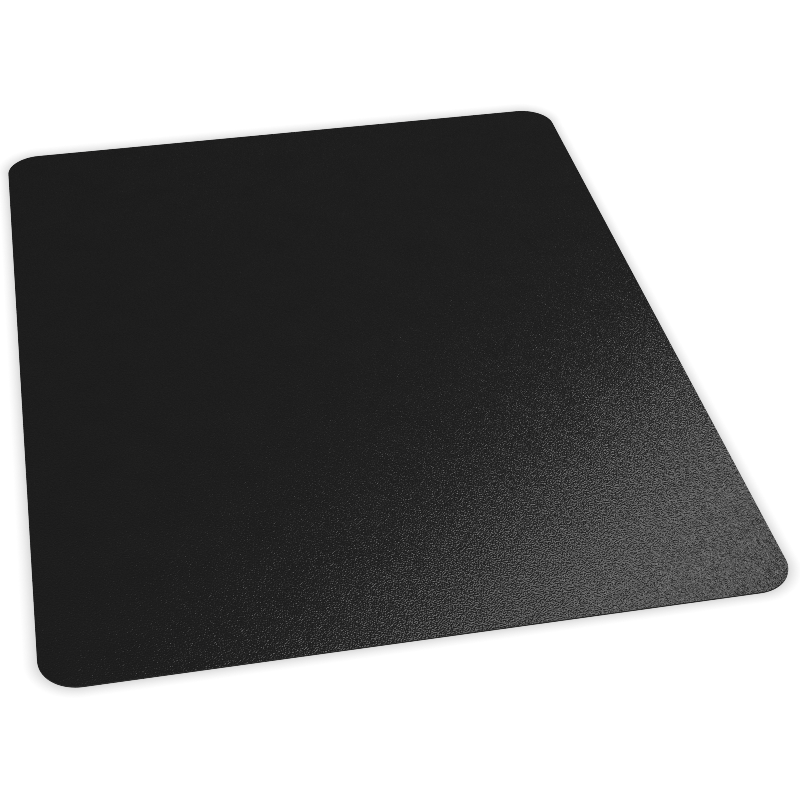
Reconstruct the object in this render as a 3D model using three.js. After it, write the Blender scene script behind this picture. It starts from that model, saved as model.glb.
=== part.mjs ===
// Rectangular chair mat for hard floors: a flexible black vinyl sheet with rounded corners that an
// office chair rolls on. The sheet is a laminate. Five plies are fused face to face under heat and
// pressure and then cut to one outline, so each ply is a solid of its own, lying on the one below.
//
// Units are millimetres and +Z is up. The origin is the centre of the underside, on the floor.
// X runs along the short sides and Y along the long sides.

import * as THREE from "three";

// Plan of the mat
const WIDTH = 914.4; // 36 in, along X
const LENGTH = 1219.2; // 48 in, along Y
const CORNER_RADIUS = 50.8; // 2 in
const CORNER_FACETS = 24; // flat strips round each quarter-round corner

// Ply thicknesses. Each is a multiple of 1/8, which a binary number holds exactly, so every ply's top
// is at exactly the height of the next one's underside, with no gap and no overlap.
const GRIP_BACKING = 0.375;
const LOWER_PLY = 0.5;
const GLASS_VEIL = 0.25;
const UPPER_PLY = 0.5;
const WEAR_LAYER = 0.375;

// Materials
const softVinyl = { color: 0x1f1f1f, roughness: 0.95, metalness: 0 };
const coreVinyl = { color: 0x1a1a1a, roughness: 0.8, metalness: 0 };
const glassFibre = { color: 0x2c2c2a, roughness: 0.9, metalness: 0 };
const embossedVinyl = { color: 0x1e1e1e, roughness: 0.55, metalness: 0 };

// The cut outline that every ply shares: a rectangle centred on the origin, with quarter-round corners.
function outline() {
  const x = WIDTH / 2 - CORNER_RADIUS;
  const y = LENGTH / 2 - CORNER_RADIUS;
  const quarter = Math.PI / 2;
  const shape = new THREE.Shape();
  shape.absarc(x, y, CORNER_RADIUS, 0, quarter);
  shape.absarc(-x, y, CORNER_RADIUS, quarter, 2 * quarter);
  shape.absarc(-x, -y, CORNER_RADIUS, 2 * quarter, 3 * quarter);
  shape.absarc(x, -y, CORNER_RADIUS, 3 * quarter, 4 * quarter);
  shape.closePath();
  return shape;
}

const mat = new THREE.Group();
let height = 0; // the top of the plies laid so far

// Lays one ply on top of those already there.
function layPly(name, thickness, material) {
  const geometry = new THREE.ExtrudeGeometry(outline(), {
    depth: thickness,
    bevelEnabled: false,
    curveSegments: CORNER_FACETS / 2, // an arc is cut into two facets for each segment
  });
  const ply = new THREE.Mesh(geometry, new THREE.MeshStandardMaterial(material));
  ply.name = name;
  ply.position.z = height;
  mat.add(ply);
  height += thickness;
}

// Soft anti-slip skin that lies on the floor.
layPly("grip_backing", GRIP_BACKING, softVinyl);

// Filled vinyl under the veil. It balances the ply above the veil, so that the mat doesn't curl.
layPly("lower_ply", LOWER_PLY, coreVinyl);

// Glass-fibre veil soaked with vinyl, at mid-thickness. It stops the sheet shrinking and stretching.
layPly("glass_veil", GLASS_VEIL, glassFibre);

// Filled vinyl above the veil, which carries the castors.
layPly("upper_ply", UPPER_PLY, coreVinyl);

// Tough pebble-embossed skin that the castors roll on.
layPly("wear_layer", WEAR_LAYER, embossedVinyl);

export default mat;
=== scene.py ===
"""Looks for the chair mat: a flat black vinyl sheet with rounded corners and a fine pebble emboss.

Five fused plies make the sheet, and each is a piece of its own: the embossed wear layer on top, two
core plies with a glass-fibre veil between them, and a soft anti-slip backing on the floor.

Everything is in metres, in the CAD model's frame: X across the mat, Y along it, Z up, floor at 0.
Azimuths are in degrees from +Y towards +X, and elevations in degrees above the floor.
"""

import math

import bmesh
import bpy
from mathutils import Matrix, Vector


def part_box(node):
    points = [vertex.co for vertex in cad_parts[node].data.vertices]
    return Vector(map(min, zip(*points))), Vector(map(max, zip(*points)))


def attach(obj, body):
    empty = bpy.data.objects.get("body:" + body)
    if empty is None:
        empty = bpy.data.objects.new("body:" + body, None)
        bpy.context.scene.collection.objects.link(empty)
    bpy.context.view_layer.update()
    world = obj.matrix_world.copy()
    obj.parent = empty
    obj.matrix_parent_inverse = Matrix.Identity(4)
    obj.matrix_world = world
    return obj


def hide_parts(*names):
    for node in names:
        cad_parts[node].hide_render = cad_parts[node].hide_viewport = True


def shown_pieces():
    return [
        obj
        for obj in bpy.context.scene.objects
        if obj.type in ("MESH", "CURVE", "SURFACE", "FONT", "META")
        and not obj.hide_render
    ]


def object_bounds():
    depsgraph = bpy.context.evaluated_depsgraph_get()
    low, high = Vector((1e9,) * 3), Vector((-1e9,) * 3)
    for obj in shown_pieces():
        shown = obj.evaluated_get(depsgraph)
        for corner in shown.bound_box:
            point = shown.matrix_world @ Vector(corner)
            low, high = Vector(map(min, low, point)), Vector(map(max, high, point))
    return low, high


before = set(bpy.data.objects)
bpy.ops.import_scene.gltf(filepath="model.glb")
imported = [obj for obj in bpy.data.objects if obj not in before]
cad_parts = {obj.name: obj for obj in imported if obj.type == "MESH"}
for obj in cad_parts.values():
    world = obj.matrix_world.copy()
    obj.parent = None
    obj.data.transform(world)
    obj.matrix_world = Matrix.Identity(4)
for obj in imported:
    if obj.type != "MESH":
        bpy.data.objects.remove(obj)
cad_low, cad_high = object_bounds()

MM = 0.001
QUARTER = math.pi / 2

# Plan of the mat
HALF_WIDTH = (cad_high.x - cad_low.x) / 2
HALF_LENGTH = (cad_high.y - cad_low.y) / 2
CORNER_RADIUS = 50.8 * MM  # 2 in, as the CAD plies have
CORNER_STEPS = 32  # faces round each quarter corner
GRID_STEP = 12.7 * MM  # side of the flat faces' squares
BORDER_RINGS = 4  # rings of faces between the rim and the squares, across one corner radius

# Cut edge: how far each ply is set back from the outline, and how its arrises are rounded
RIM_ROUND = 0.25 * MM  # of the wear layer's upper rim
FOOT_ROUND = 0.12 * MM  # of the backing's lower edge
SKIN_ARRIS = 0.03 * MM  # where the wear layer and the backing meet the core
CORE_SET_BACK = 0.03 * MM
CORE_ARRIS = 0.05 * MM
VEIL_SET_BACK = 0.08 * MM
VEIL_ARRIS = 0.02 * MM
ARRIS_STEPS = 5  # faces across a rounded arris
STRIP_WIDTH = 0.3 * MM  # flat strip beside an arris, which keeps its shading off the rest of the face
SHARP_ANGLE = 50  # degrees

# The range that a noise from 0 to 1 mostly stays in
NOISE_LOW = 0.3
NOISE_HIGH = 0.7

# Emboss of the top face. The depths are those of the full range from 0 to 1, so the pebbles
# themselves are under 0.2 mm high.
PEBBLE_PITCH = 2.0 * MM
PEBBLE_DEPTH = 0.41 * MM
MICRO_PITCH = 0.55 * MM
MICRO_DEPTH = 0.012 * MM

# Grain of the underside
NUB_PITCH = 1.6 * MM
NUB_HEIGHT = 0.25 * MM
NUB_SCATTER = 0.35  # from 0, a square grid, to 1

# Inside of the sheet
CHALK_PITCH = 0.35 * MM
FIBRE_PITCH = 0.4 * MM
FIBRE_TURNS = (0.3, 1.4, 2.5)  # radians, one for each layer of fibres

# A surface counts as the cut edge where the upward part of its normal is under the first of these,
# and as a flat face where it is over the second
CUT_SLOPE = 0.5
FLAT_SLOPE = 0.95
CUT_ROUGHNESS = 0.6  # that the cut adds to the wear layer's satin

# Camera
CAMERA_AIM = Vector((0.11439 * HALF_WIDTH, -0.24639 * HALF_LENGTH, 0.0))
CAMERA_DISTANCE = 2.5444
CAMERA_AZIMUTH = 11.343  # of the way it looks
CAMERA_ELEVATION = -37.563  # of the way it looks
CAMERA_ROLL = 0.267  # degrees
CAMERA_LENS = 83.385  # mm
SENSOR_WIDTH = 36.0  # mm
NEAREST_SEEN = 0.05
FURTHEST_SEEN = 100.0
FILTER_WIDTH = 0.8  # narrower than usual, so that the emboss stays crisp

# Key light
KEY_STRENGTH = 5.4  # enough to turn the floor plain white
KEY_AZIMUTH = 190
KEY_ELEVATION = 50
KEY_DISTANCE = 5.0
KEY_ANGLE = 40  # degrees that it spans in the sky, which makes it soft

# Floor, with a soft shade round the mat
FLOOR_ALBEDO = 0.8
FLOOR_RADIUS = 30.0
FLOOR_SEGMENTS = 64
SHADE_WIDTH = 24 * MM  # how far it reaches from the mat's edge
FAR_SHADE_WIDTH = 44 * MM  # on the far side, away from the key light
SHADE_DEPTH = 0.33  # the share of the light that it takes away at the mat's edge
SHADE_POWER = 1.6  # how it dies away


def direction(azimuth, elevation):
    """Unit vector towards an azimuth and an elevation."""
    around = math.radians(azimuth)
    upward = math.radians(elevation)
    level = math.cos(upward)
    return Vector((math.sin(around) * level, math.cos(around) * level, math.sin(upward)))


def link(thing):
    bpy.context.scene.collection.objects.link(thing)
    return thing


def add_camera():
    data = bpy.data.cameras.new("camera")
    data.sensor_width = SENSOR_WIDTH
    data.lens = CAMERA_LENS
    data.clip_start = NEAREST_SEEN
    data.clip_end = FURTHEST_SEEN
    camera = link(bpy.data.objects.new("camera", data))
    forward = direction(CAMERA_AZIMUTH, CAMERA_ELEVATION)
    turn = forward.to_track_quat("-Z", "Y").to_matrix().to_4x4()
    roll = Matrix.Rotation(math.radians(CAMERA_ROLL), 4, "Z")
    camera.matrix_world = Matrix.Translation(CAMERA_AIM - forward * CAMERA_DISTANCE) @ turn @ roll
    bpy.context.scene.camera = camera


def set_picture():
    scene = bpy.context.scene
    scene.view_settings.view_transform = "Standard"
    scene.cycles.use_denoising = False  # it would smooth the emboss away
    scene.cycles.filter_width = FILTER_WIDTH


# Shader nodes

# Sockets of the Mix node for colours, which have the same names as those for numbers and vectors
MIX_FIRST = 6
MIX_SECOND = 7
MIX_RESULT = 2


def new_material(name):
    """A node material with a Principled shader: (material, tree, shader)."""
    material = bpy.data.materials.new(name)
    material.use_nodes = True
    tree = material.node_tree
    return material, tree, tree.nodes["Principled BSDF"]


def add(tree, kind, **settings):
    node = tree.nodes.new(kind)
    for key, value in settings.items():
        setattr(node, key, value)
    return node


def feed(tree, socket, value):
    """Sets a socket to a value, or links it to another node's output."""
    if isinstance(value, bpy.types.NodeSocket):
        tree.links.new(value, socket)
    else:
        socket.default_value = value


def maths(tree, operation, a, b):
    node = add(tree, "ShaderNodeMath", operation=operation)
    feed(tree, node.inputs[0], a)
    feed(tree, node.inputs[1], b)
    return node.outputs[0]


def vector_maths(tree, operation, a, b=(0.0, 0.0, 0.0)):
    """A vector node's outputs, by name: Vector, and Value where the operation gives a number."""
    node = add(tree, "ShaderNodeVectorMath", operation=operation)
    feed(tree, node.inputs[0], a)
    feed(tree, node.inputs[1], b)
    return node.outputs


def split(tree, vector):
    """A vector's parts, by the name of the axis."""
    parts = add(tree, "ShaderNodeSeparateXYZ")
    feed(tree, parts.inputs[0], vector)
    return parts.outputs


def remap(tree, value, low, high, to_low=0.0, to_high=1.0, smooth=False):
    """A value that goes from to_low to to_high as the given one goes from low to high."""
    node = add(tree, "ShaderNodeMapRange", interpolation_type="SMOOTHSTEP" if smooth else "LINEAR")
    for socket, number in zip(node.inputs, (value, low, high, to_low, to_high)):
        feed(tree, socket, number)
    return node.outputs[0]


def place(tree, scale=(1.0, 1.0, 1.0), turn=0.0):
    """Coordinates in the mat's frame, in metres, turned about Z and then scaled."""
    where = add(tree, "ShaderNodeTexCoord").outputs["Object"]
    if turn:
        turned = add(tree, "ShaderNodeVectorRotate", rotation_type="Z_AXIS")
        feed(tree, turned.inputs["Vector"], where)
        turned.inputs["Angle"].default_value = turn
        where = turned.outputs[0]
    return vector_maths(tree, "MULTIPLY", where, scale)["Vector"]


def noise(tree, where, pitch, detail=0.0):
    """Noise from 0 to 1 whose features are about pitch metres apart."""
    node = add(tree, "ShaderNodeTexNoise")
    feed(tree, node.inputs["Vector"], where)
    node.inputs["Scale"].default_value = 1 / pitch
    node.inputs["Detail"].default_value = detail
    return node.outputs[0]


def vary(tree, noise_value, low, high):
    """A value that wanders from low to high with a noise."""
    return remap(tree, noise_value, NOISE_LOW, NOISE_HIGH, low, high)


def combine(tree, first, second, share):
    """A share of the first value, and for the rest the second."""
    part = maths(tree, "MULTIPLY", first, share)
    rest = maths(tree, "MULTIPLY", second, 1 - share)
    return maths(tree, "ADD", part, rest)


def tint(tree, share, dark, light):
    """A colour between dark and light, each an (r, g, b)."""
    node = add(tree, "ShaderNodeMix", data_type="RGBA")
    feed(tree, node.inputs["Factor"], share)
    node.inputs[MIX_FIRST].default_value = (*dark, 1)
    node.inputs[MIX_SECOND].default_value = (*light, 1)
    return node.outputs[MIX_RESULT]


def bump(tree, height, depth, normal=None, strength=1.0):
    """A normal tilted by a height from 0 to 1 that stands depth metres high, laid over another normal."""
    node = add(tree, "ShaderNodeBump")
    feed(tree, node.inputs["Height"], height)
    feed(tree, node.inputs["Strength"], strength)
    node.inputs["Distance"].default_value = depth
    if normal is not None:
        feed(tree, node.inputs["Normal"], normal)
    return node.outputs["Normal"]


def facing(tree, axis_sign):
    """1 on faces that look up (or down, where axis_sign is -1), 0 on the cut edge."""
    normal = add(tree, "ShaderNodeNewGeometry").outputs["True Normal"]
    upward = maths(tree, "MULTIPLY", split(tree, normal)["Z"], axis_sign)
    return remap(tree, upward, CUT_SLOPE, FLAT_SLOPE)


# Materials


def embossed_vinyl():
    """Black calendered vinyl: low irregular pebbles with a finer grain on them, satin all over."""
    material, tree, shader = new_material("embossed_vinyl")
    where = place(tree)
    flat = facing(tree, 1)
    pebbles = noise(tree, where, PEBBLE_PITCH)
    micro = noise(tree, where, MICRO_PITCH, detail=2)
    batch = noise(tree, where, pitch=60 * MM, detail=3)

    # Painted shade: the colour is darker in the pebbles' valleys and lighter on their tops, and for the rest
    # drifts slowly at random across the sheet.
    shade = combine(tree, vary(tree, pebbles, 0, 1), batch, share=0.55)
    black = tint(tree, shade, dark=(0.0070, 0.0070, 0.0071), light=(0.0099, 0.0099, 0.0098))
    feed(tree, shader.inputs["Base Color"], black)

    satin = maths(tree, "ADD", vary(tree, batch, -0.008, 0.008), vary(tree, micro, 0.205, 0.225))
    cut = maths(tree, "SUBTRACT", 1, flat)
    blade_marks = maths(tree, "MULTIPLY", cut, CUT_ROUGHNESS)
    feed(tree, shader.inputs["Roughness"], maths(tree, "ADD", satin, blade_marks))
    shader.inputs["IOR"].default_value = 1.46

    coarse = bump(tree, pebbles, PEBBLE_DEPTH, strength=flat)
    feed(tree, shader.inputs["Normal"], bump(tree, micro, MICRO_DEPTH, normal=coarse))
    return material


def core_vinyl():
    """Filled vinyl with chalk specks, seen only at the cut edge, where the blade has drawn fine lines."""
    material, tree, shader = new_material("core_vinyl")
    where = place(tree)
    chalk = noise(tree, where, CHALK_PITCH, detail=1)
    specks = remap(tree, chalk, low=0.62, high=0.7, smooth=True)
    cloud = noise(tree, where, pitch=9 * MM, detail=2)
    shade = combine(tree, cloud, specks, share=0.4)
    black = tint(tree, shade, dark=(0.0055, 0.0055, 0.0055), light=(0.014, 0.014, 0.0135))
    feed(tree, shader.inputs["Base Color"], black)
    feed(tree, shader.inputs["Roughness"], vary(tree, cloud, 0.62, 0.78))
    shader.inputs["IOR"].default_value = 1.5
    shader.inputs["Specular IOR Level"].default_value = 0.12

    drawn_upwards = place(tree, scale=(1, 1, 0.15))
    lines = noise(tree, drawn_upwards, pitch=0.5 * MM, detail=3)
    feed(tree, shader.inputs["Normal"], bump(tree, lines, depth=0.05 * MM))
    return material


def glass_fibre():
    """Non-woven veil: three layers of crossing fibres in dark vinyl, paler than the core."""
    material, tree, shader = new_material("glass_fibre")
    layers = []
    for turn in FIBRE_TURNS:
        drawn_out = place(tree, scale=(0.06, 1, 1), turn=turn)
        strands = noise(tree, drawn_out, FIBRE_PITCH, detail=1)
        layers.append(remap(tree, strands, low=0.5, high=0.68, smooth=True))
    fibres = layers[0]
    for layer in layers[1:]:
        fibres = maths(tree, "MAXIMUM", fibres, layer)
    clumps = noise(tree, place(tree), pitch=14 * MM, detail=2)
    shade = maths(tree, "MULTIPLY", fibres, vary(tree, clumps, 0.6, 1))
    grey = tint(tree, shade, dark=(0.008, 0.008, 0.008), light=(0.030, 0.030, 0.028))
    feed(tree, shader.inputs["Base Color"], grey)
    feed(tree, shader.inputs["Roughness"], remap(tree, fibres, 0, 1, to_low=0.75, to_high=0.5))
    shader.inputs["IOR"].default_value = 1.5
    shader.inputs["Specular IOR Level"].default_value = 0.12
    feed(tree, shader.inputs["Normal"], bump(tree, fibres, depth=0.05 * MM))
    return material


def grip_vinyl():
    """Soft matt vinyl with a fine anti-slip grain of small round nubs underneath."""
    material, tree, shader = new_material("grip_vinyl")
    where = place(tree)
    flat = facing(tree, -1)
    cell = add(tree, "ShaderNodeTexVoronoi", feature="F1", voronoi_dimensions="2D")
    feed(tree, cell.inputs["Vector"], where)
    cell.inputs["Scale"].default_value = 1 / NUB_PITCH
    cell.inputs["Randomness"].default_value = NUB_SCATTER
    from_middle = cell.outputs["Distance"]
    nubs = remap(tree, from_middle, low=0.1, high=0.5, to_low=1, to_high=0, smooth=True)
    grain = noise(tree, where, pitch=0.5 * MM, detail=3)
    cloud = noise(tree, where, pitch=80 * MM, detail=3)
    # Painted shade: the colour is lighter on the nubs and darker between them, and for the rest drifts
    # slowly at random across the sheet.
    shade = combine(tree, nubs, cloud, share=0.5)
    black = tint(tree, shade, dark=(0.0075, 0.0075, 0.0075), light=(0.020, 0.020, 0.0195))
    feed(tree, shader.inputs["Base Color"], black)
    feed(tree, shader.inputs["Roughness"], vary(tree, grain, 0.72, 0.88))
    shader.inputs["IOR"].default_value = 1.5
    shader.inputs["Specular IOR Level"].default_value = 0.2
    coarse = bump(tree, nubs, NUB_HEIGHT, strength=flat)
    feed(tree, shader.inputs["Normal"], bump(tree, grain, depth=0.03 * MM, normal=coarse))
    return material


def shaded_floor():
    """Matt white, darkened round the mat by how near a point is to the mat's outline.

    This shade is painted on the floor, and isn't cast by the lights. Folding X and Y to be positive
    makes one corner stand for all four.
    """
    material, tree, shader = new_material("floor")
    shader.inputs["Roughness"].default_value = 1.0
    shader.inputs["Specular IOR Level"].default_value = 0.0
    where = place(tree)
    folded = vector_maths(tree, "ABSOLUTE", where)["Vector"]
    corner_centre = (HALF_WIDTH - CORNER_RADIUS, HALF_LENGTH - CORNER_RADIUS, 0)
    offset = vector_maths(tree, "SUBTRACT", folded, corner_centre)["Vector"]
    beyond = vector_maths(tree, "MAXIMUM", offset)["Vector"]
    reach = vector_maths(tree, "LENGTH", beyond)["Value"]
    ahead = maths(tree, "DIVIDE", split(tree, beyond)["Y"], reach)
    on_far_side = maths(tree, "GREATER_THAN", split(tree, where)["Y"], 0)
    far = maths(tree, "MULTIPLY", ahead, on_far_side)
    end = remap(tree, far, 0, 1, CORNER_RADIUS + SHADE_WIDTH, CORNER_RADIUS + FAR_SHADE_WIDTH)
    near = remap(tree, reach, CORNER_RADIUS, end, 1, 0)
    shade = maths(tree, "MULTIPLY", maths(tree, "POWER", near, SHADE_POWER), SHADE_DEPTH)
    white = (FLOOR_ALBEDO, FLOOR_ALBEDO, FLOOR_ALBEDO)
    feed(tree, shader.inputs["Base Color"], tint(tree, shade, white, (0.0, 0.0, 0.0)))
    return material


# Plies


def steps(start, end, count):
    """Points from start to end in count equal steps, both ends included."""
    return [start.lerp(end, i / count) for i in range(count + 1)]


def outline(inset):
    """Points round the mat, anticlockwise from its right side, moved in from the cut edge by inset.

    Each corner is an arc about a fixed centre. At an inset of one corner radius the arcs shrink to those
    centres, which are the corners of the rectangle that the squares fill.
    """
    radius = CORNER_RADIUS - inset
    x = HALF_WIDTH - CORNER_RADIUS
    y = HALF_LENGTH - CORNER_RADIUS
    centres = [Vector((x, y)), Vector((-x, y)), Vector((-x, -y)), Vector((x, -y))]
    points = []
    for corner, centre in enumerate(centres):
        angles = [QUARTER * (corner + step / CORNER_STEPS) for step in range(CORNER_STEPS + 1)]
        arc = [radius * Vector((math.cos(angle), math.sin(angle))) for angle in angles]
        points += [centre + outward for outward in arc]
        following = centres[(corner + 1) % len(centres)]
        count = round((following - centre).length / GRID_STEP)
        points += steps(centre + arc[-1], following + arc[-1], count)[1:-1]
    return points


def spot(point):
    """A key that finds a vertex by its place in the plan."""
    return round(point[0], 6), round(point[1], 6)


def fill_rectangle(mesh, z, upwards):
    """Squares over the middle of a flat face at height z: its vertices, by their place in the plan."""
    x = HALF_WIDTH - CORNER_RADIUS
    y = HALF_LENGTH - CORNER_RADIUS
    across = [p.x for p in steps(Vector((-x, 0)), Vector((x, 0)), round(2 * x / GRID_STEP))]
    along = [p.y for p in steps(Vector((0, -y)), Vector((0, y)), round(2 * y / GRID_STEP))]
    found = {}
    for u in across:
        for v in along:
            found[spot((u, v))] = mesh.verts.new((u, v, z))
    for u, next_u in zip(across, across[1:]):
        for v, next_v in zip(along, along[1:]):
            corners = [(u, v), (next_u, v), (next_u, next_v), (u, next_v)]
            if not upwards:
                corners.reverse()
            mesh.faces.new([found[spot(corner)] for corner in corners])
    return found


def bridge(mesh, inner, outer):
    """Faces from one ring of vertices to the next, leaving out the sides that have shrunk to nothing."""
    for i in range(len(inner)):
        j = (i + 1) % len(inner)
        face = [inner[i], inner[j], outer[j], outer[i]]
        mesh.faces.new(sorted(set(face), key=face.index))


def cut_edge(low_z, high_z, set_back, lower_round, upper_round):
    """A ply's cut edge, set back and with its two arrises rounded: (inset, z) points, from the bottom up."""
    turns = [QUARTER * k / ARRIS_STEPS for k in range(ARRIS_STEPS + 1)]
    points = [(set_back + lower_round + STRIP_WIDTH, low_z)]
    for turn in turns:
        inset = set_back + lower_round * (1 - math.sin(turn))
        points.append((inset, low_z + lower_round * (1 - math.cos(turn))))
    for turn in turns:
        inset = set_back + upper_round * (1 - math.cos(turn))
        points.append((inset, high_z - upper_round * (1 - math.sin(turn))))
    points.append((set_back + upper_round + STRIP_WIDTH, high_z))
    return points


def slab(name, low_z, high_z, edge):
    """The mesh of a closed slab that has the mat's outline and the given cut edge."""
    flats = [CORNER_RADIUS * k / BORDER_RINGS for k in range(1, BORDER_RINGS)]
    under = [(inset, low_z) for inset in reversed(flats)]
    over = [(inset, high_z) for inset in flats]
    mesh = bmesh.new()
    middle = outline(CORNER_RADIUS)
    bottom = fill_rectangle(mesh, low_z, upwards=False)
    top = fill_rectangle(mesh, high_z, upwards=True)
    rings = [[bottom[spot(p)] for p in middle]]
    for inset, z in under + edge + over:
        rings.append([mesh.verts.new((p.x, p.y, z)) for p in outline(inset)])
    rings.append([top[spot(p)] for p in middle])
    for inner, outer in zip(rings, rings[1:]):
        bridge(mesh, inner, outer)
    for face in mesh.faces:
        face.smooth = True
    data = bpy.data.meshes.new(name)
    mesh.to_mesh(data)
    mesh.free()
    data.set_sharp_from_angle(angle=math.radians(SHARP_ANGLE))
    return data


def ply(name, node, material, set_back, lower_round, upper_round):
    """One ply as a closed slab, in place of its CAD node."""
    low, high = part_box(node)
    edge = cut_edge(low.z, high.z, set_back, lower_round, upper_round)
    data = slab(name, low.z, high.z, edge)
    data.materials.append(material)
    piece = link(bpy.data.objects.new(name, data))
    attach(piece, "root")
    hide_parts(node)


def add_plies():
    core = core_vinyl()
    ply("wear_skin", "wear_layer", embossed_vinyl(), 0, SKIN_ARRIS, RIM_ROUND)
    ply("upper_core", "upper_ply", core, CORE_SET_BACK, CORE_ARRIS, CORE_ARRIS)
    ply("veil", "glass_veil", glass_fibre(), VEIL_SET_BACK, VEIL_ARRIS, VEIL_ARRIS)
    ply("lower_core", "lower_ply", core, CORE_SET_BACK, CORE_ARRIS, CORE_ARRIS)
    ply("grip_skin", "grip_backing", grip_vinyl(), 0, FOOT_ROUND, SKIN_ARRIS)


# Studio


def add_floor():
    """A white floor that reaches far past the mat."""
    mesh = bmesh.new()
    bmesh.ops.create_circle(mesh, cap_ends=True, segments=FLOOR_SEGMENTS, radius=FLOOR_RADIUS)
    data = bpy.data.meshes.new("floor")
    mesh.to_mesh(data)
    mesh.free()
    data.materials.append(shaded_floor())
    floor = link(bpy.data.objects.new("floor", data))


def add_light(name, kind, energy, position, target, **settings):
    data = bpy.data.lights.new(name, kind)
    data.energy = energy
    for key, value in settings.items():
        setattr(data, key, value)
    light = link(bpy.data.objects.new(name, data))
    light.location = position
    light.rotation_mode = "QUATERNION"
    light.rotation_quaternion = (Vector(target) - Vector(position)).to_track_quat("-Z", "Y")
    return light


def add_softbox(name, lit, radiance, size, azimuth, elevation, distance, target, spread=180):
    """A soft rectangle of light that shines on the lit collection only and isn't seen itself.

    Azimuth, elevation and distance are its place as seen from the origin. radiance is what it has
    straight ahead. It fades to nothing at half the spread, in degrees, off its axis, and narrowing is
    what that leaves of its power.
    """
    width, height = size
    half = math.radians(spread) / 2
    narrowing = 1 - half / math.tan(half)
    energy = radiance * math.pi * width * height * narrowing
    position = direction(azimuth, elevation) * distance
    shape = {"shape": "RECTANGLE", "size": width, "size_y": height, "spread": 2 * half}
    softbox = add_light(name, "AREA", energy, position, target, **shape)
    softbox.visible_camera = False
    softbox.light_linking.receiver_collection = lit


def add_lights(lit):
    """The key lights the floor and the mat, and the mat mirrors the softboxes.

    The sheen is what the camera sees of them. The weaker ones give the mat's other sides a sheen too.
    """
    sky = direction(KEY_AZIMUTH, KEY_ELEVATION) * KEY_DISTANCE
    key = add_light("key", "SUN", KEY_STRENGTH, sky, (0, 0, 0), angle=math.radians(KEY_ANGLE))
    key.visible_glossy = False  # its mirror image would turn the mat white from the far side
    add_softbox(
        "sheen", lit, radiance=6.5, size=(0.3, 1.98),
        azimuth=46.9, elevation=54.9, distance=1.97, target=(0.68, 0.66, 0),
    )
    add_softbox(
        "left_sheen", lit, radiance=2.0, size=(0.5, 1.2),
        azimuth=-63.7, elevation=26, distance=2.56, target=(-0.2, -0.4, 0),
    )
    add_softbox(
        "right_sheen", lit, radiance=0.8, size=(0.7, 1.2),
        azimuth=128.6, elevation=18, distance=2.34, target=(-0.1, 0.3, 0),
    )
    add_softbox(
        "far_sheen", lit, radiance=0.6, size=(1.8, 0.2),
        azimuth=8, elevation=3.3, distance=3.0, target=(0.1, 0.2, 0), spread=16,
    )
    add_softbox(
        "near_sheen", lit, radiance=0.9, size=(0.6, 1.0),
        azimuth=196, elevation=32, distance=2.5, target=(-0.1, 0.1, 0),
    )


def set_world():
    """White behind the floor, and nothing for the mat to mirror but the lights."""
    world = bpy.data.worlds.new("world")
    bpy.context.scene.world = world
    world.use_nodes = True
    tree = world.node_tree
    background = tree.nodes["Background"]
    background.inputs["Color"].default_value = (1, 1, 1, 1)
    feed(tree, background.inputs["Strength"], add(tree, "ShaderNodeLightPath").outputs["Is Camera Ray"])


add_camera()
set_picture()
set_world()
add_plies()
mat = bpy.data.collections.new("mat")
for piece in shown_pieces():
    mat.objects.link(piece)
add_lights(mat)
add_floor()
